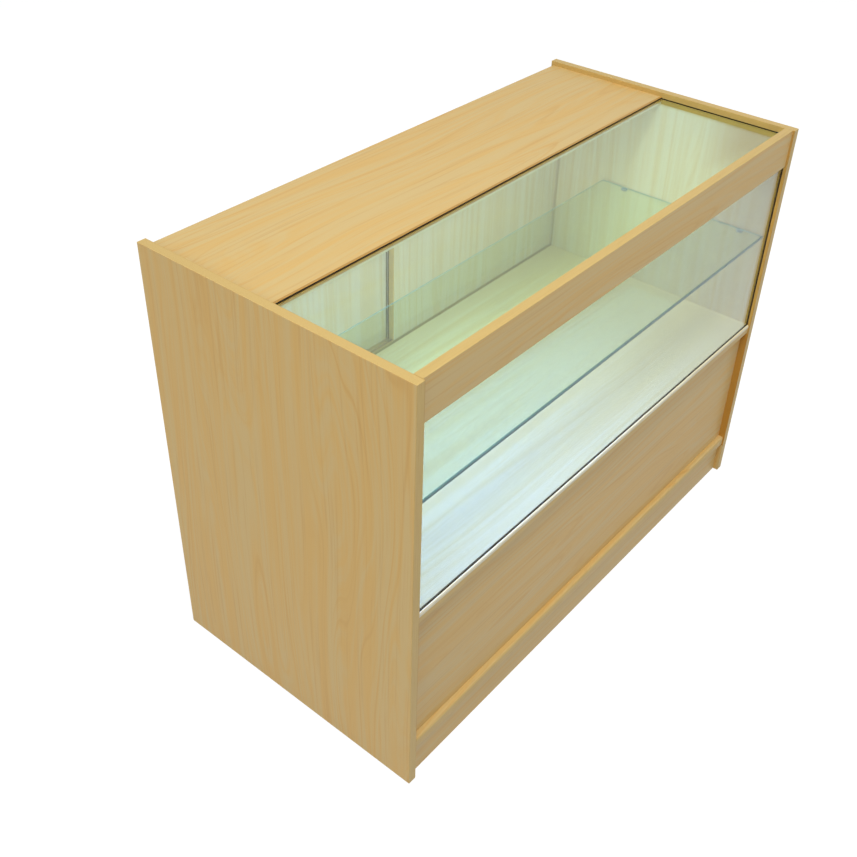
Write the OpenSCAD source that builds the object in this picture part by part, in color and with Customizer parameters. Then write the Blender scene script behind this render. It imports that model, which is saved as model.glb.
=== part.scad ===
// Shop display counter: a board carcass with a glass front and a glass top over a
// display deck, two bypass sliding doors at the back and open storage underneath.
// X runs along the front, +Y points to the back, Z is up from the floor.
// The origin is on the floor under the middle of the counter.

/* [Overall] */
// Width over both side panels
overall_w = 1200; // [1000:10:1500]
// Depth of the side panels
overall_d = 600; // [560:10:700]
// Height of the side panels' top edges above the floor
overall_h = 900; // [860:10:1000]

/* [Boards] */
// Thickness of the side panels, worktop, rail, plinths, front panel and storage shelf
board_t = 18; // [16:1:20]
// Thickness of the base panel and of the display deck
deck_t = 25; // [22:1:30]
// Radius that eases the banded arrises
ease_r = 0.8; // [0.4:0.1:1.2]
// Radius of the rounded front noses of the base panel and of the deck
nose_r = 6; // [3:0.5:8]
// Thickness of the plastic glides under the side panels
foot_h = 2; // [1.5:0.5:4]
// Radius of the plastic glides under the side panels
foot_r = 7.5; // [5:0.5:7.5]

/* [Levels] */
// Height of the base panel's underside above the floor
plinth_h = 80; // [60:5:120]
// Height of the display deck's upper face above the floor
deck_top = 432; // [400:2:480]
// Height of the front top rail
rail_h = 80; // [70:2:110]
// Depth of the worktop's upper face below the side panels' top edges
worktop_drop = 10; // [6:1:16]
// Depth of the worktop from front to back
worktop_d = 288; // [240:4:340]

/* [Setbacks] */
// Setback of the front top rail from the front edges of the side panels
rail_setback = 4.5; // [2:0.5:8]
// Setback of the noses of the base panel and the deck
nose_setback = 3.5; // [2:0.5:8]
// Setback of the lower front panel
panel_setback = 16; // [12:1:24]
// Setback of both plinths, at the front and at the back
plinth_setback = 12; // [10:1:60]
// Setback of the carcass's back edges from those of the side panels
back_setback = 4.5; // [2:0.5:5]

/* [Glass] */
// Thickness of the top glass and of the front glass
glass_t = 5; // [4:1:6]
// Wood left outside the glass in the grooves of the worktop and the rail
glass_lip = 3; // [2.5:0.5:4]
// Clearance on each face of the glass in its grooves
glass_fit = 0.3; // [0.2:0.1:0.5]
// Depth of the glass grooves
groove_d = 8; // [6:1:9]
// Depth of the groove over the front glass in the rail
head_groove_d = 12; // [9:1:14]
// Gap between an edge of the glass and the bottom of its groove
edge_gap = 1; // [0.5:0.5:2]
// Radius that eases the ground edges of the glass
glass_ease_r = 0.6; // [0.3:0.1:1]

/* [Glass shelf] */
// Height of the glass shelf's upper face above the floor
shelf_top = 655; // [600:5:720]
// Thickness of the glass shelf
shelf_t = 5; // [4:1:6]
// Depth of the glass shelf from front to back
shelf_d = 407; // [300:1:450]
// Gap between the front glass and the glass shelf
shelf_front_gap = 7; // [5:1:30]
// Gap between each end of the glass shelf and the side panel
shelf_end_gap = 2; // [1:0.5:3]
// Distance from the shelf's front edge to the front studs
stud_front_inset = 54; // [30:1:80]
// Distance from the shelf's back edge to the back studs
stud_back_inset = 61; // [30:1:80]
// Radius of the studs' pegs
stud_peg_r = 2.5; // [2:0.5:3]
// Width of the studs' tongues
stud_w = 11; // [8:1:14]
// Reach of the studs' tongues under the shelf
stud_reach = 12; // [8:1:16]

/* [Sliding doors] */
// Thickness of the doors
door_t = 16; // [15:1:18]
// Gap between the two doors' faces
door_gap = 2; // [1.5:0.5:3]
// Overlap of the closed doors at the middle
door_overlap = 32; // [30:2:60]
// Gap between a closed door and the side panel
door_end_gap = 1; // [0.5:0.5:2]
// Gap between a door and the deck that it stands over
door_floor_gap = 1.5; // [1:0.5:2.5]
// Gap over a door, through which it is lifted off its track
door_lift_gap = 7; // [6.5:0.5:9]
// Height of the grooved rail over the doors
door_rail_h = 25; // [23:1:30]
// Wood left outside the doors' faces on the grooved rail
door_rail_wall = 5; // [4:0.5:8]

/* [Tracks] */
// Wall thickness of the twin-channel tracks
track_t = 1.2; // [1:0.1:1.5]
// Inner width of a track channel
channel_w = 7.6; // [7:0.2:8]
// Depth of the lower track's channels
lower_channel_d = 6; // [5:0.5:6]
// Depth of the upper track's channels
upper_channel_d = 15; // [14:0.5:16]
// Clearance of a glide or guide on each side of its channel
glide_fit = 0.3; // [0.2:0.1:0.5]
// Length of the glides and guides
glide_l = 40; // [30:2:60]
// Distance from a door's vertical edge to the middle of its glides and guides
glide_inset = 70; // [50:5:120]
// Height by which the guides stand in the upper channels
guide_bite = 7; // [5:0.5:7]

/* [Pulls and lock] */
// Height of the finger pulls and the lock above the floor
pull_z = 650; // [600:5:700]
// Radius of the recessed finger pulls inside
pull_r = 15; // [12:1:18]
// Depth of the finger pulls
pull_d = 10; // [8:0.5:11]
// Distance from a door's outer edge to the middle of its pull
pull_inset = 60; // [40:5:100]
// Radius of the lock's sleeve in the door
lock_sleeve_r = 10; // [9:0.5:10]
// Radius of the lock's plunger
lock_plunger_r = 7.5; // [7:0.5:8]
// Radius of the lock's key plug
lock_plug_r = 4.5; // [4:0.5:5]
// Radius of the plunger's bolt
lock_bolt_r = 4; // [3:0.5:4]
// Height by which the free plunger stands out of the lock's plate
plunger_out = 6; // [5:0.5:6.5]

/* [Storage shelf] */
// Height of the storage shelf's upper face above the floor
storage_top = 268; // [220:4:320]
// Setback of the storage shelf from the carcass's back edge
storage_setback = 40; // [20:5:160]
// Distance from the shelf's front and back edges to its pins
pin_inset = 50; // [30:5:90]

/* [Fittings] */
// Radius of the cam housings
cam_r = 7.5; // [7:0.5:8]
// Distance from a board's end to its cams
cam_reach = 24; // [22:1:34]
// Radius of the dowels
dowel_r = 4; // [3:0.5:4]
// Length of the dowels
dowel_l = 30; // [25:1:34]
// Depth of the bores in the side panels
side_bore_d = 12; // [10:0.5:12.5]
// Distance from a board's edge to its first cam
cam_inset = 50; // [45:1:70]
// Length of the screws that hold the grooved rail
rail_screw_l = 35; // [32:1:35]
// Radius of the screws that hold the grooved rail
rail_screw_r = 1.75; // [1.5:0.25:2]

/* [Hidden] */
$fn = 48;

// Colours of the finishes
wood = "#DDB878";
wood_light = "#E6C68C";
clear_glass = "#BFE0D6";
clear_plastic = "#BBD3E6";
white_plastic = "#E8E6DE";
brown_plastic = "#9A7C50";
zinc = "#B4B6B8";
beech = "#D9B48A";

// Small amount by which a cutter runs past the face that it opens
cut = 1;
// Radial clearance of pegs, bolts and dowels in their bores
bore_fit = 0.05;
// Radial clearance of the lock's turning and sliding pieces
lock_fit = 0.05;

// Main planes, from the driving sizes
side_x = overall_w / 2 - board_t;
front_y = -overall_d / 2;
back_y = overall_d / 2 - back_setback;
rail_y = front_y + rail_setback;
rail_back_y = rail_y + board_t;
nose_y = front_y + nose_setback;
panel_y = front_y + panel_setback;
panel_back_y = panel_y + board_t;
base_top = plinth_h + deck_t;
deck_under = deck_top - deck_t;
rail_z = overall_h - rail_h;
worktop_top = overall_h - worktop_drop;
worktop_z = worktop_top - board_t;
worktop_y = back_y - worktop_d;

// Glass planes
groove_w = glass_t + 2 * glass_fit;
top_groove_z = worktop_top - glass_lip - groove_w;
front_groove_y = rail_y + glass_lip;
top_glass_z = top_groove_z;
front_glass_y = front_groove_y + glass_fit;
glass_half_w = side_x + groove_d - edge_gap;
shelf_y = front_glass_y + glass_t + shelf_front_gap;
shelf_back_y = shelf_y + shelf_d;
shelf_under = shelf_top - shelf_t;
stud_ys = [shelf_y + stud_front_inset, shelf_back_y - stud_back_inset];

// Door planes: the right door runs in front, the left door behind it
door_rail_d = 2 * door_rail_wall + 2 * door_t + door_gap;
door_rail_y = back_y - door_rail_d;
right_door_y = door_rail_y + door_rail_wall;
left_door_y = right_door_y + door_t + door_gap;
door_pitch = door_t + door_gap;
door_mid_y = [right_door_y + door_t / 2, left_door_y + door_t / 2];
door_w = side_x - door_end_gap + door_overlap / 2;
upper_rail_z = worktop_z - door_rail_h;
door_z = deck_top + door_floor_gap;
door_top = upper_rail_z - door_lift_gap;
door_h = door_top - door_z;
left_door_x = -side_x + door_end_gap;
right_door_x = side_x - door_end_gap - door_w;

// Tracks, glides and guides
channel_outer_w = channel_w + 2 * track_t;
track_flange_w = door_pitch + channel_outer_w + 4;
glide_w = channel_w - 2 * glide_fit;
glide_peg_r = 4;
glide_peg_l = 14;
glide_plate_w = 12;
glide_plate_h = 2;
glide_xs = [glide_inset, door_w - glide_inset];

// Finger pulls and lock
pull_wall = 1.6;
pull_flange_w = 3.4;
pull_flange_t = 1.2;
pull_outer_r = pull_r + pull_wall;
pull_flange_r = pull_outer_r + pull_flange_w;
pull_pocket_d = pull_d + pull_wall + 0.2;
pull_recess_d = pull_flange_t + 0.1;
lock_plate_t = 2;
lock_plate_w = 22;
lock_plate_h = 46;
lock_screw_r = 1.5;
lock_screw_head_r = 2.8;
lock_screw_l = 12;
lock_screw_pitch = 32;
strike_r = 6.5;
strike_flange_r = 9;
strike_flange_t = 1;
strike_d = 9;
plunger_back_y = left_door_y + door_t + lock_plate_t + plunger_out;
plunger_body_l = 15;
plug_l = 10;
plug_depth_gap = 0.2;

// Storage shelf
storage_under = storage_top - board_t;
storage_y = panel_back_y + 2;
storage_back_y = back_y - storage_setback;
storage_end_gap = 2;
pin_r = 2.5;
pin_reach = 10;
pin_ys = [storage_y + pin_inset, storage_back_y - pin_inset];

// Screws of the grooved rail
rail_screw_head_r = 3.3;
rail_screw_head_h = 2;
rail_screw_tip = 4;
rail_screw_x = [-side_x * 0.75, 0, side_x * 0.75];
rail_mid_y = door_rail_y + door_rail_d / 2;

// Cams, bolts and dowels of every board that ends on the side panels.
// A row holds the bolts' points [y, z], the dowels' points [y, z], the direction
// in which the cams lie in the board, and the level of the face that they enter.
dowel_step = 32;
function across(a, b, level) = [
    [[a + cam_inset, level], [b - cam_inset, level]],
    [[a + cam_inset + dowel_step, level], [b - cam_inset - dowel_step, level]]
];
function upright(y, a, b) = [
    [[y, a + cam_inset], [y, b - cam_inset]],
    [[y, a + cam_inset + dowel_step], [y, b - cam_inset - dowel_step]]
];
function narrow(y, a, b, step) = [
    [[y, (a + b) / 2]],
    [[y, (a + b) / 2 - step], [y, (a + b) / 2 + step]]
];
rear_plinth_y = -front_y - plinth_setback - board_t;
front_plinth_y = front_y + plinth_setback;
plinth_dowel_step = 22;
rail_dowel_step = 14;
worktop_fix = concat(across(worktop_y, door_rail_y, worktop_z + board_t / 2), ["up", worktop_z]);
deck_fix = concat(across(nose_y, back_y, deck_under + deck_t / 2), ["up", deck_under]);
base_fix = concat(across(nose_y, back_y, plinth_h + deck_t / 2), ["up", plinth_h]);
panel_fix = concat(upright(panel_y + board_t / 2, base_top, deck_under), ["front", panel_back_y]);
rail_fix = concat(narrow(rail_y + board_t / 2, rail_z, overall_h, rail_dowel_step),
    ["front", rail_back_y]);
front_plinth_fix = concat(narrow(front_plinth_y + board_t / 2, foot_h, plinth_h, plinth_dowel_step),
    ["front", front_plinth_y + board_t]);
rear_plinth_fix = concat(narrow(rear_plinth_y + board_t / 2, foot_h, plinth_h, plinth_dowel_step),
    ["back", rear_plinth_y]);
all_fixes = [worktop_fix, deck_fix, base_fix, panel_fix, rail_fix, front_plinth_fix, rear_plinth_fix];
cam_wall = 5;
cam_deck_wall = 8.5;
bolt_r = 3;
bolt_thread_r = 2.5;
bolt_thread_l = 11;
bolt_neck_r = 2;
bolt_head_r = 3.4;
bolt_hole_r = 3.6;

// Rectangle with true round corners
module rounded_rect(size, r) {
    translate([r, 0]) square([size.x - 2 * r, size.y]);
    translate([0, r]) square([size.x, size.y - 2 * r]);
    for (x = [r, size.x - r], y = [r, size.y - r])
        translate([x, y]) circle(r);
}

// Block from one corner with all twelve arrises eased, as three crossed outlines
module eased_block(size, r) {
    intersection() {
        linear_extrude(size.z) rounded_rect([size.x, size.y], r);
        translate([0, size.y, 0]) rotate([90, 0, 0])
            linear_extrude(size.y) rounded_rect([size.x, size.z], r);
        rotate([90, 0, 90])
            linear_extrude(size.x) rounded_rect([size.y, size.z], r);
    }
}

// Outline in Y and Z of a board with a rounded nose at its front
module nosed_outline(depth, t) {
    translate([nose_r, 0]) square([depth - nose_r, t]);
    translate([0, nose_r]) square([nose_r + 1, t - 2 * nose_r]);
    for (z = [nose_r, t - nose_r])
        translate([nose_r, z]) circle(nose_r);
}

// Board between the side panels, from its outline in Y and Z
module between_sides() {
    translate([-side_x, 0, 0]) rotate([90, 0, 90]) linear_extrude(2 * side_x) children();
}

// Cylinder along X that starts at x and runs to the right
module rod_x(x, y, z, r, l) {
    translate([x, y, z]) rotate([0, 90, 0]) cylinder(r = r, h = l);
}

// Cylinder along Y that starts at y and runs to the back
module rod_y(x, y, z, r, l) {
    translate([x, y, z]) rotate([-90, 0, 0]) cylinder(r = r, h = l);
}

// Depth of a cam's pocket: past the bolt in the middle of the board
function pocket_depth(fix) =
    fix[2] == "up" && fix[3] < worktop_z ? deck_t - cam_deck_wall : board_t - cam_wall;

// Cylinder in the place of a cam, at the right-hand end of a board
module cam_place(point, fix, r, d, run_out) {
    x = side_x - cam_reach;
    if (fix[2] == "up")
        translate([x, point.x, fix[3] - run_out]) cylinder(r = r, h = d + run_out);
    if (fix[2] == "front")
        rod_y(x, fix[3] - d, point.y, r, d + run_out);
    if (fix[2] == "back")
        rod_y(x, fix[3] - run_out, point.y, r, d + run_out);
}

// Same thing at both ends of a board
module both_ends() {
    children();
    mirror([1, 0, 0]) children();
}

// Bores for cams, bolts and dowels in a board
module board_bores(fix) {
    both_ends() {
        for (p = fix[0]) {
            cam_place(p, fix, cam_r + bore_fit, pocket_depth(fix), cut);
            rod_x(side_x - cam_reach, p.x, p.y, bolt_hole_r, cam_reach + cut);
        }
        for (p = fix[1])
            rod_x(side_x - dowel_l + side_bore_d - cut, p.x, p.y, dowel_r + bore_fit, dowel_l);
    }
}

// Bores for bolts and dowels in the right side panel
module side_bores() {
    for (fix = all_fixes) {
        for (p = fix[0])
            rod_x(side_x - cut, p.x, p.y, bolt_thread_r + bore_fit, bolt_thread_l + cut);
        for (p = fix[1])
            rod_x(side_x - cut, p.x, p.y, dowel_r + bore_fit, side_bore_d + cut);
    }
}

// Right side panel: the left one is its mirror image
module side_panel() {
    difference() {
        translate([side_x, front_y, foot_h])
            eased_block([board_t, overall_d, overall_h - foot_h], ease_r);
        // Groove for the top glass
        translate([side_x - cut, rail_back_y - groove_d, top_groove_z])
            cube([groove_d + cut, worktop_y - rail_back_y + 2 * groove_d, groove_w]);
        // Groove for the front glass
        translate([side_x - cut, front_groove_y, deck_top - groove_d])
            cube([groove_d + cut, groove_w, rail_z - deck_top + groove_d + head_groove_d]);
        side_bores();
        for (y = stud_ys)
            rod_x(side_x - cut, y, shelf_under - stud_peg_r, stud_peg_r + bore_fit, side_bore_d + cut);
        for (y = pin_ys)
            rod_x(side_x - cut, y, storage_under - pin_r, pin_r + bore_fit, side_bore_d + cut);
    }
}

module left_side_panel() {
    color(wood) mirror([1, 0, 0]) side_panel();
}

module right_side_panel() {
    color(wood) side_panel();
}

// Base panel: its rounded nose is the ledge in front of the lower front panel
module base_panel() {
    color(wood) difference() {
        translate([0, nose_y, plinth_h]) between_sides() nosed_outline(back_y - nose_y, deck_t);
        board_bores(base_fix);
    }
}

// Plinth board on edge under the base panel
module plinth(y, fix) {
    difference() {
        translate([-side_x, y, foot_h]) cube([2 * side_x, board_t, plinth_h - foot_h]);
        board_bores(fix);
    }
}

module front_plinth() {
    color(wood) plinth(front_plinth_y, front_plinth_fix);
}

module rear_plinth() {
    color(wood) plinth(rear_plinth_y, rear_plinth_fix);
}

module lower_front_panel() {
    color(wood) difference() {
        translate([-side_x, panel_y, base_top])
            cube([2 * side_x, board_t, deck_under - base_top]);
        board_bores(panel_fix);
    }
}

// Deck: floor of the display, with the groove that the front glass stands in and the seat
// that the doors' track is let into
module display_deck() {
    color(wood) difference() {
        translate([0, nose_y, deck_under]) between_sides() difference() {
            nosed_outline(back_y - nose_y, deck_t);
            translate([door_rail_y - nose_y, deck_t]) track_seat(lower_channel_d);
        }
        translate([-side_x - cut, front_groove_y, deck_top - groove_d])
            cube([2 * (side_x + cut), groove_w, groove_d + cut]);
        board_bores(deck_fix);
    }
}

// Rail over the front glass, with a groove in its lower edge and one in its back
module front_top_rail() {
    color(wood) difference() {
        translate([0, rail_y, rail_z]) between_sides() rounded_rect([board_t, rail_h], ease_r);
        translate([-side_x - cut, front_groove_y, rail_z - cut])
            cube([2 * (side_x + cut), groove_w, head_groove_d + cut]);
        translate([-side_x - cut, rail_back_y - groove_d, top_groove_z])
            cube([2 * (side_x + cut), groove_d + cut, groove_w]);
        board_bores(rail_fix);
    }
}

// Worktop over the doors, with a groove for the top glass in its front edge
module worktop() {
    color(wood_light) difference() {
        translate([0, worktop_y, worktop_z]) between_sides()
            rounded_rect([worktop_d, board_t], ease_r);
        translate([-side_x - cut, worktop_y - cut, top_groove_z])
            cube([2 * (side_x + cut), groove_d + cut, groove_w]);
        board_bores(worktop_fix);
        for (x = rail_screw_x)
            translate([x, rail_mid_y, upper_screw_z])
                cylinder(r = rail_screw_r + bore_fit, h = rail_screw_l);
    }
}

// Pane with ground edges, from one corner
module pane(size) {
    eased_block(size, glass_ease_r);
}

module top_glass() {
    y = rail_back_y - groove_d + edge_gap;
    color(clear_glass) translate([-glass_half_w, y, top_glass_z])
        pane([2 * glass_half_w, worktop_y + groove_d - edge_gap - y, glass_t]);
}

module front_glass() {
    z = deck_top - groove_d;
    color(clear_glass) translate([-glass_half_w, front_glass_y, z])
        pane([2 * glass_half_w, glass_t, rail_z + head_groove_d - edge_gap - z]);
}

module glass_shelf() {
    half_w = side_x - shelf_end_gap;
    color(clear_glass) translate([-half_w, shelf_y, shelf_under])
        pane([2 * half_w, shelf_d, shelf_t]);
}

// Clear stud under the glass shelf: peg, collar and a rounded tongue
module shelf_stud(y) {
    collar_r = 7;
    collar_t = 1.6;
    tongue_t = 3.5;
    peg_z = shelf_under - stud_peg_r;
    rod_x(side_x - collar_t, y, peg_z, stud_peg_r, collar_t + side_bore_d - edge_gap);
    intersection() {
        union() {
            rod_x(side_x - collar_t, y, peg_z, collar_r, collar_t);
            translate([side_x - stud_reach + stud_w / 2, y - stud_w / 2, shelf_under - tongue_t])
                cube([stud_reach - stud_w / 2, stud_w, tongue_t]);
            translate([side_x - stud_reach + stud_w / 2, y, shelf_under - tongue_t])
                cylinder(r = stud_w / 2, h = tongue_t);
        }
        translate([side_x - stud_reach - cut, y - collar_r - cut, shelf_under - 2 * collar_r])
            cube([stud_reach + cut, 2 * (collar_r + cut), 2 * collar_r]);
    }
}

module glass_shelf_studs() {
    color(clear_plastic) both_ends() for (y = stud_ys) shelf_stud(y);
}

// Seat of a track seen from its end: y from the front of the rail over the doors, z from the
// face that the track lies flush with, with room for its flange and its two channels
module track_seat(channel_d) {
    translate([(door_rail_d - track_flange_w) / 2, -track_t])
        square([track_flange_w, track_t + cut]);
    for (side = [-1, 1])
        translate([door_rail_d / 2 + side * door_pitch / 2 - channel_outer_w / 2, -track_t - channel_d])
            square([channel_outer_w, channel_d + track_t + cut]);
}

// Twin-channel track seen from its end, in the same place as its seat
module track_outline(channel_d) {
    floor_z = -track_t - channel_d;
    difference() {
        union() {
            translate([(door_rail_d - track_flange_w) / 2, -track_t])
                square([track_flange_w, track_t]);
            for (side = [-1, 1])
                translate([door_rail_d / 2 + side * door_pitch / 2 - channel_outer_w / 2, floor_z])
                    square([channel_outer_w, channel_d + track_t]);
        }
        for (side = [-1, 1])
            translate([door_rail_d / 2 + side * door_pitch / 2 - channel_w / 2, floor_z + track_t])
                square([channel_w, channel_d + cut]);
    }
}

// The lower track is let into the deck, the upper one into the rail under the worktop
module lower_place() {
    translate([0, door_rail_y, deck_top]) between_sides() children();
}
module upper_place() {
    translate([0, door_rail_y, upper_rail_z]) mirror([0, 0, 1]) between_sides() children();
}

// Countersunk screw that points up, from the level of its head
module rail_screw(r) {
    cylinder(r1 = rail_screw_head_r, r2 = r, h = rail_screw_head_h);
    cylinder(r = r, h = rail_screw_l - rail_screw_tip);
    translate([0, 0, rail_screw_l - rail_screw_tip])
        cylinder(r1 = r, r2 = 0.4, h = rail_screw_tip);
}

// Screws in the web between the two channels, their heads under the track's flange
upper_screw_z = upper_rail_z + track_t;
module upper_screws(grow) {
    for (x = rail_screw_x)
        translate([x, rail_mid_y, upper_screw_z]) rail_screw(rail_screw_r + grow);
}

module upper_door_rail() {
    color(wood) difference() {
        upper_place() difference() {
            translate([0, -door_rail_h]) rounded_rect([door_rail_d, door_rail_h], ease_r);
            track_seat(upper_channel_d);
        }
        upper_screws(bore_fit);
    }
}

module lower_door_track() {
    color(brown_plastic) lower_place() track_outline(lower_channel_d);
}

module upper_door_track() {
    color(brown_plastic) upper_place() track_outline(upper_channel_d);
}

module door_rail_screws() {
    color(zinc) upper_screws(0);
}

// Place of a finger pull or lock: its axis along Y, at the door's back face
module at_back_face(x, y, z) {
    translate([x, y + door_t, z]) rotate([90, 0, 0]) children();
}

// Seats for two glides in the lower edge and two guides in the upper edge of a door
module glide_seats(x, mid_y) {
    for (gx = glide_xs) {
        translate([x + gx, mid_y, door_z - cut]) {
            cylinder(r = glide_peg_r + bore_fit, h = glide_peg_l + glide_plate_h + cut);
            translate([-glide_l / 2, -glide_plate_w / 2, 0])
                cube([glide_l, glide_plate_w, glide_plate_h + cut]);
        }
        translate([x + gx, mid_y, door_top + cut]) mirror([0, 0, 1]) {
            cylinder(r = glide_peg_r + bore_fit, h = glide_peg_l + glide_plate_h + cut);
            translate([-glide_l / 2, -glide_plate_w / 2, 0])
                cube([glide_l, glide_plate_w, glide_plate_h + cut]);
        }
    }
}

// Pocket for a finger pull in a door's back face
module pull_pocket(x, y) {
    at_back_face(x, y, pull_z) {
        translate([0, 0, -cut]) cylinder(r = pull_flange_r + 0.1, h = pull_recess_d + cut);
        cylinder(r = pull_outer_r + bore_fit, h = pull_pocket_d);
    }
}

// Door board with its glide seats and its pull pocket
module door_board(x, y, pull_x) {
    difference() {
        translate([x, y, door_z]) eased_block([door_w, door_t, door_h], ease_r);
        glide_seats(x, y + door_t / 2);
        pull_pocket(pull_x, y);
    }
}

left_pull_x = left_door_x + pull_inset;
right_pull_x = right_door_x + door_w - pull_inset;

// Left door, behind: the lock's sleeve passes through it in the overlap
module left_sliding_door() {
    color(wood) difference() {
        door_board(left_door_x, left_door_y, left_pull_x);
        rod_y(0, left_door_y - cut, pull_z, lock_sleeve_r + bore_fit, door_t + 2 * cut);
        for (side = [-1, 1])
            rod_y(0, left_door_y + door_t - lock_screw_l + lock_plate_t,
                pull_z + side * lock_screw_pitch / 2, lock_screw_r + bore_fit, lock_screw_l);
    }
}

// Right door, in front: the strike for the lock's bolt sits in its back face
module right_sliding_door() {
    color(wood) difference() {
        door_board(right_door_x, right_door_y, right_pull_x);
        at_back_face(0, right_door_y, pull_z) {
            translate([0, 0, -cut]) cylinder(r = strike_flange_r + bore_fit, h = strike_flange_t + cut);
            cylinder(r = strike_r + bore_fit, h = strike_d);
        }
    }
}

// Nylon glide: a peg and plate let into the door, a round-ended blade in the channel
module glide(blade_h) {
    cylinder(r = glide_peg_r, h = glide_peg_l);
    translate([-glide_l / 2, -glide_plate_w / 2, 0])
        cube([glide_l, glide_plate_w, glide_plate_h]);
    translate([0, 0, -blade_h]) {
        translate([-glide_l / 2 + glide_w / 2, -glide_w / 2, 0])
            cube([glide_l - glide_w, glide_w, blade_h + glide_plate_h]);
        for (side = [-1, 1])
            translate([side * (glide_l - glide_w) / 2, 0, 0])
                cylinder(r = glide_w / 2, h = blade_h + glide_plate_h);
    }
}

lower_blade_h = door_floor_gap + track_t + lower_channel_d - track_t - 0.2;
upper_blade_h = door_lift_gap + guide_bite;

module door_glides(x, mid_y) {
    color(white_plastic) for (gx = glide_xs)
        translate([x + gx, mid_y, door_z]) glide(lower_blade_h);
}

module door_guides(x, mid_y) {
    color(white_plastic) for (gx = glide_xs)
        translate([x + gx, mid_y, door_top]) mirror([0, 0, 1]) glide(upper_blade_h);
}

module left_door_glides() {
    door_glides(left_door_x, door_mid_y[1]);
}
module right_door_glides() {
    door_glides(right_door_x, door_mid_y[0]);
}
module left_door_guides() {
    door_guides(left_door_x, door_mid_y[1]);
}
module right_door_guides() {
    door_guides(right_door_x, door_mid_y[0]);
}

// Recessed finger pull: a turned cup with a flush flange and a round-bottomed inside
module finger_pull() {
    bottom_r = 3;
    rotate_extrude() difference() {
        union() {
            square([pull_outer_r, pull_d + pull_wall]);
            square([pull_flange_r, pull_flange_t]);
        }
        translate([-cut, -cut]) square([pull_r + cut, pull_d - bottom_r + cut]);
        translate([-cut, 0]) square([pull_r - bottom_r + cut, pull_d]);
        translate([pull_r - bottom_r, pull_d - bottom_r]) circle(bottom_r);
        translate([-pull_flange_r, -cut]) square([pull_flange_r, 3 * pull_d]);
    }
}

module left_finger_pull() {
    color(zinc) at_back_face(left_pull_x, left_door_y, pull_z)
        translate([0, 0, 0.1]) finger_pull();
}

module right_finger_pull() {
    color(zinc) at_back_face(right_pull_x, right_door_y, pull_z)
        translate([0, 0, 0.1]) finger_pull();
}

// Lock housing: a round-ended plate on the left door's back face and its sleeve
module lock_housing() {
    y = left_door_y + door_t;
    color(zinc) difference() {
        union() {
            translate([0, y + lock_plate_t, pull_z]) rotate([90, 0, 0])
                linear_extrude(lock_plate_t) {
                    translate([-lock_plate_w / 2, -lock_plate_h / 2 + lock_plate_w / 2])
                        square([lock_plate_w, lock_plate_h - lock_plate_w]);
                    for (side = [-1, 1])
                        translate([0, side * (lock_plate_h - lock_plate_w) / 2])
                            circle(lock_plate_w / 2);
                }
            rod_y(0, left_door_y, pull_z, lock_sleeve_r, door_t + cut);
        }
        rod_y(0, left_door_y + 3, pull_z, lock_plunger_r + lock_fit, door_t + lock_plate_t);
        rod_y(0, left_door_y - cut, pull_z, lock_bolt_r + lock_fit, door_t);
        for (side = [-1, 1])
            translate([0, y, pull_z + side * lock_screw_pitch / 2]) rotate([-90, 0, 0]) {
                translate([0, 0, -cut]) cylinder(r = lock_screw_r + bore_fit, h = 3 * cut);
                translate([0, 0, lock_plate_t - 1.3])
                    cylinder(r1 = lock_screw_r + bore_fit, r2 = lock_screw_head_r + bore_fit, h = 1.3);
            }
    }
}

// Two countersunk screws with a slot, through the lock's plate into the door
module lock_screws() {
    slot_w = 0.8;
    slot_d = 0.7;
    head_h = 1.3;
    color(zinc) for (side = [-1, 1])
        translate([0, left_door_y + door_t + lock_plate_t, pull_z + side * lock_screw_pitch / 2])
            rotate([90, 0, 0]) difference() {
                union() {
                    cylinder(r1 = lock_screw_head_r, r2 = lock_screw_r, h = head_h);
                    cylinder(r = lock_screw_r, h = lock_screw_l - 3);
                    translate([0, 0, lock_screw_l - 3]) cylinder(r1 = lock_screw_r, r2 = 0.3, h = 3);
                }
                translate([-lock_screw_head_r - cut, -slot_w / 2, -cut])
                    cube([2 * (lock_screw_head_r + cut), slot_w, slot_d + cut]);
            }
}

// Plunger of the lock, standing out and free: body, bolt and the seat of the key plug
module lock_plunger() {
    body_y = plunger_back_y - plunger_body_l;
    color(zinc) difference() {
        union() {
            rod_y(0, body_y, pull_z, lock_plunger_r, plunger_body_l - 1);
            translate([0, plunger_back_y - 1, pull_z]) rotate([-90, 0, 0])
                cylinder(r1 = lock_plunger_r, r2 = lock_plunger_r - 1, h = 1);
            rod_y(0, left_door_y + 0.4, pull_z, lock_bolt_r, body_y - left_door_y);
        }
        rod_y(0, plunger_back_y - plug_l - plug_depth_gap, pull_z, lock_plug_r + lock_fit,
            plug_l + plug_depth_gap + cut);
    }
}

// Key plug that turns in the plunger, with a keyway across its face
module lock_key_plug() {
    keyway_w = 1.4;
    keyway_h = 6.4;
    keyway_d = 7;
    color(zinc) difference() {
        rod_y(0, plunger_back_y - plug_l, pull_z, lock_plug_r, plug_l - 0.3);
        translate([-keyway_w / 2, plunger_back_y - keyway_d, pull_z - keyway_h / 2])
            cube([keyway_w, keyway_d + cut, keyway_h]);
    }
}

// Strike: a flanged bush flush in the right door, where the bolt goes in
module lock_strike() {
    color(zinc) at_back_face(0, right_door_y, pull_z) difference() {
        union() {
            cylinder(r = strike_flange_r, h = strike_flange_t);
            cylinder(r = strike_r, h = strike_d);
        }
        translate([0, 0, -cut]) cylinder(r = lock_bolt_r + 0.5, h = strike_d - 1 + cut);
    }
}

module storage_shelf() {
    half_w = side_x - storage_end_gap;
    color(wood) translate([-half_w, storage_y, storage_under])
        eased_block([2 * half_w, storage_back_y - storage_y, board_t], ease_r);
}

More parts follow.
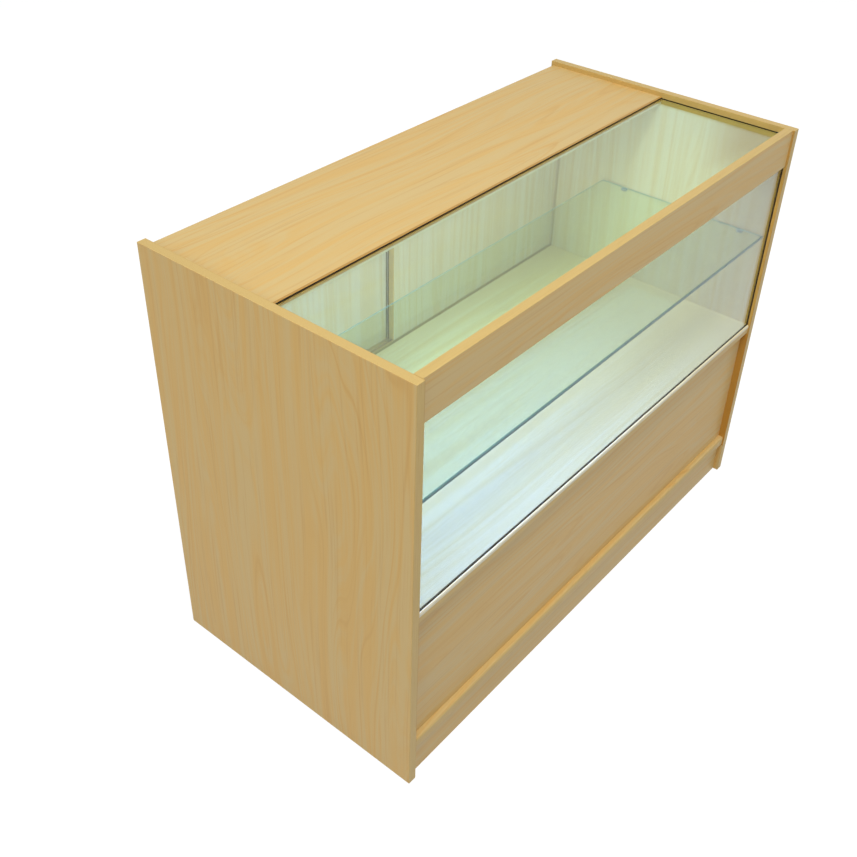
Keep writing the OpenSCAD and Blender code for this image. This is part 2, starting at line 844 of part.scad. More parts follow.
// Steel pins with a collar and a flat spoon under the storage shelf
module storage_shelf_pins() {
    collar_r = 4;
    collar_t = 1.2;
    color(zinc) both_ends() for (y = pin_ys) {
        rod_x(side_x - collar_t, y, storage_under - pin_r, pin_r, collar_t + side_bore_d - 1);
        intersection() {
            rod_x(side_x - collar_t, y, storage_under - pin_r, collar_r, collar_t);
            translate([side_x - 2 * collar_t, y - collar_r, storage_under - 3 * collar_r])
                cube([4 * collar_t, 2 * collar_r, 3 * collar_r]);
        }
        translate([side_x - pin_reach, y - pin_r, storage_under - 2])
            cube([pin_reach, 2 * pin_r, 2]);
    }
}

// Cam housing: a disc with the slot that takes the bolt's head and a cross recess
module cam(point, fix) {
    slack = 0.3;
    slot_w = 2 * bolt_head_r + 0.8;
    x = side_x - cam_reach;
    difference() {
        cam_place(point, fix, cam_r, pocket_depth(fix) - slack, 0);
        translate([x - bolt_head_r - 1, point.x - slot_w / 2, point.y - slot_w / 2])
            cube([cam_r + bolt_head_r + 2, slot_w, slot_w]);
        cam_cross(x, point, fix);
    }
}

// Cross recess in the face of a cam
module cam_cross(x, point, fix) {
    arm = 8;
    arm_w = 1.6;
    d = 2;
    for (s = [[arm, arm_w], [arm_w, arm]]) {
        if (fix[2] == "up")
            translate([x - s.x / 2, point.x - s.y / 2, fix[3] - cut]) cube([s.x, s.y, d + cut]);
        if (fix[2] == "front")
            translate([x - s.x / 2, fix[3] - d, point.y - s.y / 2]) cube([s.x, d + cut, s.y]);
        if (fix[2] == "back")
            translate([x - s.x / 2, fix[3] - cut, point.y - s.y / 2]) cube([s.x, d + cut, s.y]);
    }
}

module cam_locks() {
    color(zinc) both_ends() for (fix = all_fixes, p = fix[0]) cam(p, fix);
}

// Cam bolt, turned: thread in the side panel, shank, neck and a coned head in the cam
module cam_bolt(p) {
    neck_l = 4;
    shank_x = cam_reach - bolt_head_r - neck_l;
    translate([side_x, p.x, p.y]) rotate([0, -90, 0]) rotate_extrude() polygon([
        [0, 0.5 - bolt_thread_l],
        [bolt_thread_r, 0.5 - bolt_thread_l],
        [bolt_thread_r, 0],
        [bolt_r, 0],
        [bolt_r, shank_x],
        [bolt_neck_r, shank_x + 0.6],
        [bolt_neck_r, cam_reach - bolt_head_r],
        [bolt_head_r, cam_reach - 1.2],
        [bolt_head_r, cam_reach + 0.6],
        [bolt_neck_r, cam_reach + 2.2],
        [0, cam_reach + 2.2]
    ]);
}

module cam_bolts() {
    color(zinc) both_ends() for (fix = all_fixes, p = fix[0]) cam_bolt(p);
}

// Fluted beech dowels, half in the side panels and half in the boards
module dowels() {
    slack = 0.5;
    color(beech) both_ends() for (fix = all_fixes, p = fix[1])
        rod_x(side_x - dowel_l + side_bore_d + slack, p.x, p.y, dowel_r, dowel_l - 2 * slack);
}

// Round plastic glides under the side panels' ends
module floor_glides() {
    inset = 40;
    for (side = [-1, 1], y = [front_y + inset, -front_y - inset])
        color(white_plastic) translate([side * (side_x + board_t / 2), y, 0]) {
            cylinder(r1 = foot_r - 1, r2 = foot_r, h = foot_h / 2);
            translate([0, 0, foot_h / 2]) cylinder(r = foot_r, h = foot_h / 2);
        }
}

left_side_panel();
right_side_panel();
base_panel();
front_plinth();
rear_plinth();
lower_front_panel();
display_deck();
front_top_rail();
worktop();
top_glass();
front_glass();
glass_shelf();
glass_shelf_studs();
upper_door_rail();
lower_door_track();
upper_door_track();
left_sliding_door();
right_sliding_door();
left_door_glides();
right_door_glides();
left_door_guides();
right_door_guides();
left_finger_pull();
right_finger_pull();
lock_housing();
lock_screws();
lock_plunger();
lock_key_plug();
lock_strike();
storage_shelf();
storage_shelf_pins();
cam_locks();
cam_bolts();
dowels();
door_rail_screws();
floor_glides();
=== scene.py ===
import math

import bmesh
import bpy
from mathutils import Matrix, Vector


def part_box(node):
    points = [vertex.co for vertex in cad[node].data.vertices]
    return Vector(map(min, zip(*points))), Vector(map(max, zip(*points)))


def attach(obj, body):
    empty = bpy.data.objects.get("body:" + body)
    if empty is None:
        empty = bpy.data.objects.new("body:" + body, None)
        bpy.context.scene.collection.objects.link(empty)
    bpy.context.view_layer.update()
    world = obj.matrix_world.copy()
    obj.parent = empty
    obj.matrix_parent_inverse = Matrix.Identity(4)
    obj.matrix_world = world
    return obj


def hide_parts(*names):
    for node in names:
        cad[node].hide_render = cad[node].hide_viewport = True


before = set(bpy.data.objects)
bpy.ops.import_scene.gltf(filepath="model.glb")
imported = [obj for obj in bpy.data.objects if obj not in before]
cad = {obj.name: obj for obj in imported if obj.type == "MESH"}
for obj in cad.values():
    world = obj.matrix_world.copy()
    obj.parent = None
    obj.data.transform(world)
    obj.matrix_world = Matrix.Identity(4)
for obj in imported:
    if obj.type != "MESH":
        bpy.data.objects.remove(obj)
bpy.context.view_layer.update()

# ---- Sizes of the finishes, in metres ----
MM = 0.001
BAND_STRIP = 1.0 * MM       # an edge band's own thickness, seen along the face of a board
BAND_SEAM = 0.18 * MM       # how far the seam beside it spreads to both sides
EASED_DEPTH = 0.9 * MM      # what is cut deeper than this shows the core of a board
NOSE_DEPTH = 2.2 * MM       # the same, where the front edge is rounded
FOILED_DEPTH = 26 * MM      # deeper than any groove, for a board that is foiled in its grooves
PANE_CORNER = 1.5 * MM      # rounding of the corners of a sheet of glass
PANE_ARRIS = 0.6 * MM       # width of its ground arrises
SMOOTH_ANGLE = math.radians(32)


def linear(r, g, b):
    """A colour given in 0 to 255 as a screen shows it, as the linear colour that a shader takes."""
    def one(c):
        c /= 255.0
        return c / 12.92 if c <= 0.04045 else ((c + 0.055) / 1.055) ** 2.4
    return one(r), one(g), one(b), 1.0


# ---- Helpers for node trees ----

def put(tree, kind, inputs=None, **props):
    """Adds a node, sets its properties, and gives its inputs values or links them to sockets."""
    node = tree.nodes.new(kind)
    for key, value in props.items():
        setattr(node, key, value)
    for key, value in (inputs or {}).items():
        socket = node.inputs[key]
        if isinstance(value, bpy.types.NodeSocket):
            tree.links.new(value, socket)
        else:
            socket.default_value = value
    return node


def math_node(tree, operation, a, b=0.0, c=None):
    """One operation on numbers or sockets."""
    inputs = {0: a, 1: b}
    if c is not None:
        inputs[2] = c
    return put(tree, "ShaderNodeMath", inputs, operation=operation).outputs[0]


def times(tree, a, b):
    return math_node(tree, "MULTIPLY", a, b)


def vector_node(tree, operation, a, b):
    """One operation on two vectors that gives a vector."""
    return put(tree, "ShaderNodeVectorMath", {0: a, 1: b}, operation=operation).outputs[0]


def dot(tree, a, b):
    """How far a vector reaches along another one."""
    return put(tree, "ShaderNodeVectorMath", {0: a, 1: b},
               operation="DOT_PRODUCT").outputs["Value"]


def combine(tree, x, y, z):
    return put(tree, "ShaderNodeCombineXYZ", {0: x, 1: y, 2: z}).outputs[0]


def separate(tree, vector):
    """The three parts of a vector."""
    return put(tree, "ShaderNodeSeparateXYZ", {0: vector}).outputs


def ramp(tree, value, low, high, out_low=0.0, out_high=1.0):
    """Value from low to high, eased and moved to out_low to out_high."""
    return put(tree, "ShaderNodeMapRange", {0: value, 1: low, 2: high, 3: out_low, 4: out_high},
               interpolation_type="SMOOTHSTEP").outputs[0]


def mix(tree, factor, a, b):
    """Mixes two colours."""
    return put(tree, "ShaderNodeMix", {0: factor, 6: a, 7: b}, data_type="RGBA").outputs[2]


def noise(tree, vector, scale, detail, roughness):
    return put(tree, "ShaderNodeTexNoise", {"Vector": vector, "Scale": scale, "Detail": detail,
                                            "Roughness": roughness}).outputs["Fac"]


def object_place(tree):
    """Where a point lies, in metres."""
    return put(tree, "ShaderNodeTexCoord").outputs["Object"]


def stretched_place(tree, stretch):
    """Where a point lies, with each axis scaled."""
    return put(tree, "ShaderNodeMapping", {0: object_place(tree), 3: stretch}).outputs[0]


def ray_mask(tree, kinds):
    """1 for the rays of these kinds and 0 for all others."""
    path = put(tree, "ShaderNodeLightPath").outputs
    mask = path[kinds[0]]
    for kind in kinds[1:]:
        mask = math_node(tree, "MAXIMUM", mask, path[kind])
    return mask


COLOR, FLOAT, VECTOR = "NodeSocketColor", "NodeSocketFloat", "NodeSocketVector"


def new_group(name, inputs, outputs):
    """An empty node group with sockets, given as name: kind."""
    tree = bpy.data.node_groups.new(name, "ShaderNodeTree")
    for label, kind in inputs.items():
        tree.interface.new_socket(label, in_out="INPUT", socket_type=kind)
    for label, kind in outputs.items():
        tree.interface.new_socket(label, in_out="OUTPUT", socket_type=kind)
    given = tree.nodes.new("NodeGroupInput").outputs
    out = tree.nodes.new("NodeGroupOutput").inputs
    return tree, given, out


# ---- Effects that several materials use ----

def laminate_grain_group():
    """Maple pattern: broad two-tone bands that bend in long arches, fine fibres and short ticks.
    Place is in metres, with x along the grain and y across it. Sway scales how much it bends."""
    tree, given, out = new_group(
        "maple laminate grain",
        {"Place": VECTOR, "Seed": FLOAT, "Sway": FLOAT,
         "Warm": COLOR, "Pale": COLOR, "Line": COLOR},
        {"Color": COLOR, "Height": FLOAT})
    seed, sway = given["Seed"], given["Sway"]
    shift = combine(tree, times(tree, seed, 3.71), times(tree, seed, 1.93), times(tree, seed, 0.57))
    along, across, depth = separate(tree, vector_node(tree, "ADD", given["Place"], shift))

    def field(first, first_scale, second, second_scale, detail, roughness):
        """Noise over two measures, each with a scale of its own."""
        place = combine(tree, times(tree, first, first_scale), times(tree, second, second_scale),
                        depth)
        return noise(tree, place, 1.0, detail, roughness)

    # A slow wave bends every line a little; the rings of a slow field close in tall arches
    wave = field(along, 1.6, across, 3.0, 1.0, 0.5)
    bent = math_node(tree, "MULTIPLY_ADD", wave, times(tree, sway, 0.045), across)
    slow = field(along, 1.0, bent, 9.0, 1.0, 0.4)
    level = math_node(tree, "MULTIPLY_ADD", slow, times(tree, sway, 7.0), times(tree, bent, 16.0))
    bands = field(bent, 46.0, along, 1.1, 2.0, 0.5)
    rings = field(level, 6.5, along, 0.9, 2.0, 0.55)
    streaks = field(bent, 240.0, along, 3.2, 3.0, 0.6)
    fibres = field(along, 12.0, across, 900.0, 2.0, 0.6)
    ticks = field(along, 70.0, across, 900.0, 1.0, 0.5)
    tone = math_node(tree, "ADD", times(tree, bands, 0.55), times(tree, rings, 0.45))
    color = mix(tree, ramp(tree, tone, 0.40, 0.60), given["Pale"], given["Warm"])
    for layer, low, high, share, laid in (
            (streaks, 0.52, 0.72, 0.42, "Line"), (streaks, 0.46, 0.30, 0.45, "Pale"),
            (rings, 0.56, 0.74, 0.38, "Line"), (fibres, 0.55, 0.8, 0.16, "Line"),
            (ticks, 0.70, 0.82, 0.25, "Line")):
        color = mix(tree, ramp(tree, layer, low, high, 0.0, share), color, given[laid])
    height = math_node(tree, "SUBTRACT", fibres, ramp(tree, ticks, 0.66, 0.8, 0.0, 0.5))
    tree.links.new(color, out["Color"])
    tree.links.new(height, out["Height"])
    return tree


def depth_in_box(tree, place, low, high):
    """How far a place lies inside a box along each axis, from the nearer of its two faces."""
    return vector_node(tree, "MINIMUM", vector_node(tree, "SUBTRACT", place, low),
                       vector_node(tree, "SUBTRACT", high, place))


def least_part(tree, vector):
    """The smallest part of a vector."""
    x, y, z = separate(tree, vector)
    return math_node(tree, "MINIMUM", x, math_node(tree, "MINIMUM", y, z))


def board_zones_group():
    """Tells the faces of a board from its banded edges and from what is cut into it.
    Low and High are the board's corners, Flat is 1 along its thickness and Banded is 1 along
    the direction across its long banded edges. Depth is how far a bared core lies inside."""
    tree, given, out = new_group(
        "board zones",
        {"Low": VECTOR, "High": VECTOR, "Flat": VECTOR, "Banded": VECTOR, "Depth": FLOAT},
        {"Band": FLOAT, "Seam": FLOAT, "Core": FLOAT})
    coord = put(tree, "ShaderNodeTexCoord").outputs
    inside = depth_in_box(tree, coord["Object"], given["Low"], given["High"])
    core = math_node(tree, "GREATER_THAN", least_part(tree, inside), given["Depth"])
    facing = math_node(tree, "ABSOLUTE", dot(tree, coord["Normal"], given["Flat"]))
    edge = math_node(tree, "LESS_THAN", facing, 0.72)
    to_edge = dot(tree, inside, given["Banded"])
    strip = math_node(tree, "LESS_THAN", to_edge, BAND_STRIP)
    seam = math_node(tree, "COMPARE", to_edge, BAND_STRIP, BAND_SEAM)
    tree.links.new(math_node(tree, "MAXIMUM", edge, strip), out["Band"])
    tree.links.new(times(tree, seam, math_node(tree, "SUBTRACT", 1.0, edge)), out["Seam"])
    tree.links.new(core, out["Core"])
    return tree


def box_group():
    """Mask of what lies in a box with the corners Low and High. It fades in over the distances
    Soft, from the box's faces inwards."""
    tree, given, out = new_group("within a box", {"Low": VECTOR, "High": VECTOR, "Soft": VECTOR},
                                 {"Mask": FLOAT})
    inside = depth_in_box(tree, object_place(tree), given["Low"], given["High"])
    faded = vector_node(tree, "DIVIDE", inside, given["Soft"])
    tree.links.new(ramp(tree, least_part(tree, faded), 0.0, 1.0), out["Mask"])
    return tree


GRAIN = laminate_grain_group()
ZONES = board_zones_group()
BOX = box_group()


# ---- Colours ----

# Sheets of laminate: the colours of the warm bands, the pale bands and the fine lines
LINE = linear(206, 160, 92)
MAPLE_SHEET = (linear(222, 184, 112), linear(218, 190, 129), LINE)
# The display case is faced with paler sheets of the same pattern, which bends less
CASE_SHEET = (linear(226, 216, 177), linear(229, 226, 202), linear(219, 205, 163))
DOOR_SHEET = (linear(215, 206, 168), linear(218, 215, 192), linear(208, 195, 154))
DECK_SHEET = (linear(246, 240, 214), linear(250, 250, 240), linear(238, 224, 188))
CASE_SWAY = 0.3
# Edge bands
BAND = linear(213, 183, 115)
BAND_LINE = linear(200, 163, 92)
CASE_BAND = linear(232, 224, 193)
SHADED_LIP_BAND = linear(190, 146, 74)
SHADED_LOWER_LIP = linear(214, 166, 84)
# What a groove or a bore bares, as pairs of colours
CHIPBOARD = (linear(112, 84, 52), linear(156, 124, 84))
GROOVE_WOOD = (linear(132, 98, 50), linear(152, 114, 62))
# Painted shade: a near-black core for the boards whose grooves hold glass, for the shade that falls
# in the grooves
GROOVE_SHADE = (linear(30, 24, 14), linear(44, 36, 24))
# Lines and patches beside the glass and the doors, most of them painted shade and painted shadow
GROOVE_SHADOW_LINE = linear(26, 20, 8)
PANE_FOOT_SHADOW = linear(60, 50, 20)
CORNER_SHADOW = linear(198, 188, 148)
DOOR_FOOT_SHADOW = linear(168, 160, 118)
STILE_SHADE = linear(220, 198, 140)
OVERLAP_SHADOW = linear(92, 80, 50)
OVERLAP_CAST_SHADOW = linear(112, 98, 50)
WARM_DECK = linear(236, 222, 176)
# Painted shade on the inner faces of the side panels, around the panes and beside the lower front
# panel
SHADED_SHEET_OVER_PANE = linear(204, 171, 100)
SHADED_SHEET_BY_PANE = linear(204, 166, 88)
SHADED_SHEET_BEFORE_PANE = linear(192, 150, 78)
SHADED_SHEET_BESIDE_PANEL = linear(194, 142, 60)
RAIL_SHADE_SHEET = linear(190, 156, 92)
SHELF_RIM = linear(14, 108, 106)


# ---- Patches of colour on the boards; all their measures are in mm ----

SHARP = 0.01                    # a patch with a sharp edge fades in over this
PANEL_FACE = (581.9, 583.2)     # the inner face of a side panel, from the counter's middle
CASE_RISE = (431.9, 881.5)      # from the deck to the top pane
PANE_RISE = (431, 831)          # the front pane, from the deck to the rail
TOP_RUN = (-278, 8)             # the top pane, from the rail to the worktop
DOOR_FRONTS = {1: 256.5, -1: 274.5}     # front faces of the right and the left door
CORNER_WIDTH = 6                # width of the shadow in the corner beside a door
DECK_FACE = (424.5, 433)        # the deck's upper face, with the top of its rounded edge


def patch(color, x=(-700, 700), y=(-400, 400), z=(-10, 1000), soft=(SHARP, SHARP, SHARP)):
    """A part of a board with a colour of its own: its limits along each axis, and how far it
    takes to fade in."""
    return ([a[0] * MM for a in (x, y, z)], [a[1] * MM for a in (x, y, z)],
            [a * MM for a in soft], color)


def add_patch(tree, color, part):
    """Lays a patch over the colour."""
    low, high, soft, laid = part
    mask = put(tree, "ShaderNodeGroup", {"Low": low, "High": high, "Soft": soft}, node_tree=BOX)
    return mix(tree, mask.outputs["Mask"], color, laid)


def side_patches(side):
    """On the inner face of a side panel. side is 1 for the right panel and -1 for the left one."""
    face = sorted((side * PANEL_FACE[0], side * PANEL_FACE[1]))
    door = DOOR_FRONTS[side]
    return [
        # Painted shade: the sheet darkens towards the front and the top, where the rail and the
        # frame of the top pane shade it
        patch(RAIL_SHADE_SHEET, face, (-700, 0), CASE_RISE, (SHARP, 570, SHARP)),
        patch(RAIL_SHADE_SHEET, face, (-700, -90), (735, 1100), (SHARP, 130, 125)),
        # The shadow in the corner by the door
        patch(CORNER_SHADOW, face, (door - CORNER_WIDTH, door), CASE_RISE),
        # The top pane: painted shade on the sheet over it, a painted shadow line where it enters
        # the groove, and painted shade on the sheet under it
        patch(SHADED_SHEET_OVER_PANE, face, z=(887.9, 901)),
        patch(GROOVE_SHADOW_LINE, face, TOP_RUN, (886.3, 887.9)),
        patch(SHADED_SHEET_BY_PANE, face, TOP_RUN, (871.5, 881.5)),
        # The front pane: painted shade and a painted shadow line behind it, and both again in front
        # of it
        patch(SHADED_SHEET_BY_PANE, face, (-287.3, -276.5), (431, 882)),
        patch(GROOVE_SHADOW_LINE, face, (-287.3, -285.6), PANE_RISE),
        patch(SHADED_SHEET_BEFORE_PANE, face, (-301, -292.1), (407, 901)),
        patch(GROOVE_SHADOW_LINE, face, (-293.2, -292.1), PANE_RISE),
        # Painted shade on the strip of the face beside the lower front panel
        patch(SHADED_SHEET_BESIDE_PANEL, face, (-301, -284), (80, 407)),
    ]


PATCHES = {
    "left_side_panel": side_patches(-1),
    "right_side_panel": side_patches(1),
    "worktop": [
        # Its front edge: a darker band with painted shade on the lip over the top pane, a painted
        # shadow line at the pane, painted shade on the lip under the pane, and below that
        patch(SHADED_LIP_BAND, y=(7, 12.2), z=(886.9, 891)),
        patch(GROOVE_SHADOW_LINE, y=(7, 8.2), z=(886.2, 889.3)),
        patch(SHADED_LOWER_LIP, y=(7, 8.6), z=(876.8, 881.5)),
        patch(CASE_BAND, y=(7, 8.6), z=(871, 876.8)),
    ],
    "display_deck": [
        # The sheet is warmer to the right
        patch(WARM_DECK, x=(60, 1300), z=(430, 433), soft=(700, SHARP, SHARP)),
        # The rounded front edge, the rear edge and the underside
        patch(BAND, y=(-297, -284), z=(406, 423.4)),
        patch(BAND, y=(289.6, 297)),
        patch(MAPLE_SHEET[0], z=(406, 409)),
        # Painted shadow lines at the foot of the front pane, in front of it and behind it
        patch(PANE_FOOT_SHADOW, y=(-293.2, -292.0), z=DECK_FACE),
        patch(PANE_FOOT_SHADOW, y=(-287.4, -285.9), z=DECK_FACE),
        # The shadow at the foot of the doors
        patch(DOOR_FOOT_SHADOW, y=(250.5, 257.6), z=(430.5, 433)),
    ],
    # The edges of the doors where they overlap, with painted shadow in the gap between them and on
    # the left door's face beside it
    "right_sliding_door": [
        patch(STILE_SHADE, x=(-17, -15.1)),
        patch(OVERLAP_SHADOW, x=(-17, -14.8), y=(270.4, 273)),
    ],
    "left_sliding_door": [
        patch(OVERLAP_CAST_SHADOW, x=(-23, -14), y=(274, 275), soft=(5, SHARP, SHARP)),
    ],
}


# ---- Materials ----

def new_material(name):
    """A material with an empty Principled shader; returns (material, tree, shader)."""
    material = bpy.data.materials.new(name)
    material.use_nodes = True
    tree = material.node_tree
    tree.nodes.clear()
    shader = put(tree, "ShaderNodeBsdfPrincipled")
    put(tree, "ShaderNodeOutputMaterial", {0: shader.outputs[0]})
    return material, tree, shader


def add_bump(tree, shader, height, strength, distance):
    """Gives a shader the fine relief of height."""
    bump = put(tree, "ShaderNodeBump", {"Height": height, "Strength": strength,
                                        "Distance": distance})
    tree.links.new(bump.outputs[0], shader.inputs["Normal"])


def let_light_through(tree, shader, shade, kinds):
    """Rays of these kinds pass straight through, tinted by shade, and all others meet the
    shader."""
    clear = put(tree, "ShaderNodeBsdfTransparent", {"Color": shade})
    both = put(tree, "ShaderNodeMixShader",
               {0: ray_mask(tree, kinds), 1: shader.outputs[0], 2: clear.outputs[0]})
    output = next(n for n in tree.nodes if n.type == "OUTPUT_MATERIAL")
    tree.links.new(both.outputs[0], output.inputs[0])


AXES = {"x": Vector((1, 0, 0)), "y": Vector((0, 1, 0)), "z": Vector((0, 0, 1))}
# Where the faces look that stand around the display case
INWARD = {"left": Vector((1, 0, 0)), "right": Vector((-1, 0, 0)), "door": Vector((0, -1, 0))}
CASE_FRONT = -287.2 * MM
CASE_FLOOR = 432.0 * MM
CASE_TOP = 881.4 * MM


def case_side_mask(tree, parts, inward):
    """1 on the faces that look inward around the display case, and 0 elsewhere."""
    normal = put(tree, "ShaderNodeTexCoord").outputs["Normal"]
    mask = math_node(tree, "GREATER_THAN", dot(tree, normal, inward), 0.9)
    for operation, axis, limit in (("GREATER_THAN", "z", CASE_FLOOR), ("LESS_THAN", "z", CASE_TOP),
                                   ("GREATER_THAN", "y", CASE_FRONT)):
        mask = times(tree, mask, math_node(tree, operation, parts[axis], limit))
    return mask


def laminate_material(node, grain, flat, seed, depth, core, faced):
    """Maple laminate on one board: the grain runs along the axis grain, the board is thin along
    the axis flat and has banded edges across the third axis. core is the pair of colours of
    what is cut deeper than depth. faced says where the paler sheet lies: "none", "deck", or on
    the case side of a "door", "left" or "right" panel."""
    low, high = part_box(node)
    across = next(axis for axis in "xyz" if axis not in (grain, flat))
    material, tree, shader = new_material("laminate of the " + node.replace("_", " "))
    coord = object_place(tree)
    parts = dict(zip("xyz", separate(tree, coord)))
    if faced in INWARD:
        paler = case_side_mask(tree, parts, INWARD[faced])
        sheets = zip(MAPLE_SHEET, DOOR_SHEET if faced == "door" else CASE_SHEET)
        warm, pale, line = [mix(tree, paler, a, b) for a, b in sheets]
        sway = math_node(tree, "MULTIPLY_ADD", paler, CASE_SWAY - 1.0, 1.0)
        band = BAND
    elif faced == "deck":
        (warm, pale, line), sway, band = DECK_SHEET, CASE_SWAY, CASE_BAND
    else:
        (warm, pale, line), sway, band = MAPLE_SHEET, 1.0, BAND
    place = combine(tree, parts[grain], parts[across], parts[flat])
    pattern = put(tree, "ShaderNodeGroup",
                  {"Place": place, "Seed": seed, "Sway": sway, "Warm": warm, "Pale": pale,
                   "Line": line}, node_tree=GRAIN).outputs
    zones = put(tree, "ShaderNodeGroup",
                {"Low": low, "High": high, "Flat": AXES[flat], "Banded": AXES[across],
                 "Depth": depth}, node_tree=ZONES).outputs
    # The band's own grain: thin lines that run along the edge
    band_place = combine(tree, times(tree, parts[grain], 12.0), times(tree, parts[flat], 700.0),
                         times(tree, parts[across], 700.0))
    band_lines = noise(tree, band_place, 1.0, 2.0, 0.6)
    band_color = mix(tree, ramp(tree, band_lines, 0.42, 0.75, 0.0, 0.6), band, BAND_LINE)
    chips = put(tree, "ShaderNodeTexVoronoi", {"Vector": coord, "Scale": 420.0}).outputs["Color"]
    color = mix(tree, zones["Band"], pattern["Color"], band_color)
    color = mix(tree, times(tree, zones["Seam"], 0.45), color, LINE)
    color = mix(tree, zones["Core"], color, mix(tree, chips, core[0], core[1]))
    for part in PATCHES.get(node, []):
        color = add_patch(tree, color, part)
    tree.links.new(color, shader.inputs["Base Color"])
    rough = ramp(tree, pattern["Height"], 0.2, 0.8, 0.50, 0.42)
    tree.links.new(math_node(tree, "MULTIPLY_ADD", zones["Core"], 0.4, rough),
                   shader.inputs["Roughness"])
    add_bump(tree, shader, pattern["Height"], 0.25, 0.08 * MM)
    shader.inputs["IOR"].default_value = 1.46
    shader.inputs["Specular IOR Level"].default_value = 0.3
    return material


def glass_material(name, face, film_share, shade, mirror, rim=None):
    """The faces of a sheet of float glass: clear with a thin milky film, and a clear way for
    light to pass. mirror is its index, which says how much it mirrors. rim is a patch along an
    edge, where the body's colour shows."""
    material, tree, shader = new_material(name)
    coord = object_place(tree)
    film = noise(tree, coord, 2.3, 2.0, 0.5)
    deeper = [c * 0.98 for c in face[:3]] + [1.0]
    color = mix(tree, ramp(tree, film, 0.3, 0.7), face, deeper)
    if rim:
        color = add_patch(tree, color, rim)
    tree.links.new(color, shader.inputs["Base Color"])
    smear = noise(tree, coord, 9.0, 3.0, 0.6)
    tree.links.new(ramp(tree, smear, 0.45, 0.8, 0.0, 0.02), shader.inputs["Roughness"])
    shader.inputs["IOR"].default_value = mirror
    shader.inputs["Transmission Weight"].default_value = 1.0 - film_share
    let_light_through(tree, shader, shade, ("Is Shadow Ray", "Is Diffuse Ray"))
    return material


def ground_edge_material(name, light, deep, passing, far=None, far_from=0.0):
    """The ground edge of a sheet of glass: a satin face in which the body's colour gathers.
    The edges behind the line far_from have the lighter colour far, a painted highlight where they
    catch the light."""
    material, tree, shader = new_material(name)
    coord = object_place(tree)
    cloud = noise(tree, coord, 14.0, 2.0, 0.5)
    grit = noise(tree, coord, 2600.0, 2.0, 0.6)
    color = mix(tree, ramp(tree, cloud, 0.3, 0.7), light, deep)
    if far:
        behind = math_node(tree, "GREATER_THAN", separate(tree, coord)[1], far_from)
        color = mix(tree, behind, color, far)
    tree.links.new(color, shader.inputs["Base Color"])
    tree.links.new(ramp(tree, grit, 0.3, 0.7, 0.22, 0.36), shader.inputs["Roughness"])
    add_bump(tree, shader, grit, 0.15, 0.02 * MM)
    shader.inputs["IOR"].default_value = 1.52
    shader.inputs["Specular Tint"].default_value = linear(80, 225, 225)
    shader.inputs["Transmission Weight"].default_value = passing
    let_light_through(tree, shader, linear(120, 112, 84), ("Is Shadow Ray",))
    return material


def plastic_material(name, color, dark, roughness):
    """Moulded or extruded plastic: a slight cloudiness in the colour and a fine skin."""
    material, tree, shader = new_material(name)
    coord = object_place(tree)
    cloud = noise(tree, coord, 26.0, 3.0, 0.6)
    skin = noise(tree, coord, 2400.0, 2.0, 0.6)
    tree.links.new(mix(tree, ramp(tree, cloud, 0.35, 0.7, 0.0, 0.6), color, dark),
                   shader.inputs["Base Color"])
    tree.links.new(ramp(tree, skin, 0.3, 0.7, roughness - 0.06, roughness + 0.06),
                   shader.inputs["Roughness"])
    add_bump(tree, shader, skin, 0.12, 0.05 * MM)
    return material


def clear_plastic_material(name, tint):
    """Clear moulded plastic of the shelf studs."""
    material, tree, shader = new_material(name)
    cloud = noise(tree, object_place(tree), 90.0, 2.0, 0.5)
    tree.links.new(mix(tree, ramp(tree, cloud, 0.3, 0.7, 0.0, 0.35), tint, linear(235, 242, 248)),
                   shader.inputs["Base Color"])
    tree.links.new(ramp(tree, cloud, 0.3, 0.7, 0.06, 0.14), shader.inputs["Roughness"])
    shader.inputs["IOR"].default_value = 1.49
    shader.inputs["Transmission Weight"].default_value = 0.75
    let_light_through(tree, shader, linear(225, 235, 240), ("Is Shadow Ray",))
    return material


def metal_material(name, color, worn, roughness, lines=(1.0, 1.0, 1.0)):
    """Plated metal with a fine brushed or tumbled finish. lines is the brushing's stretch."""
    material, tree, shader = new_material(name)
    fine = noise(tree, stretched_place(tree, lines), 900.0, 2.0, 0.6)
    broad = noise(tree, object_place(tree), 70.0, 3.0, 0.6)
    tree.links.new(mix(tree, ramp(tree, broad, 0.35, 0.7, 0.0, 0.7), color, worn),
                   shader.inputs["Base Color"])
    tree.links.new(ramp(tree, fine, 0.25, 0.75, roughness - 0.07, roughness + 0.09),
                   shader.inputs["Roughness"])
    add_bump(tree, shader, fine, 0.1, 0.02 * MM)
    shader.inputs["Metallic"].default_value = 1.0
    return material


def beech_material(name):
    """Bare turned beech of the dowels."""
    material, tree, shader = new_material(name)
    fleck = noise(tree, stretched_place(tree, (0.05, 1.0, 1.0)), 1200.0, 3.0, 0.6)
    color = mix(tree, ramp(tree, fleck, 0.35, 0.7), linear(214, 178, 132), linear(188, 146, 100))
    tree.links.new(color, shader.inputs["Base Color"])
    tree.links.new(ramp(tree, fleck, 0.3, 0.7, 0.55, 0.7), shader.inputs["Roughness"])
    return material


# ---- Finishes of the CAD nodes ----

def dress(node, material):
    """Gives a CAD node its finish."""
    piece = cad[node]
    piece.data.materials.clear()
    piece.data.materials.append(material)


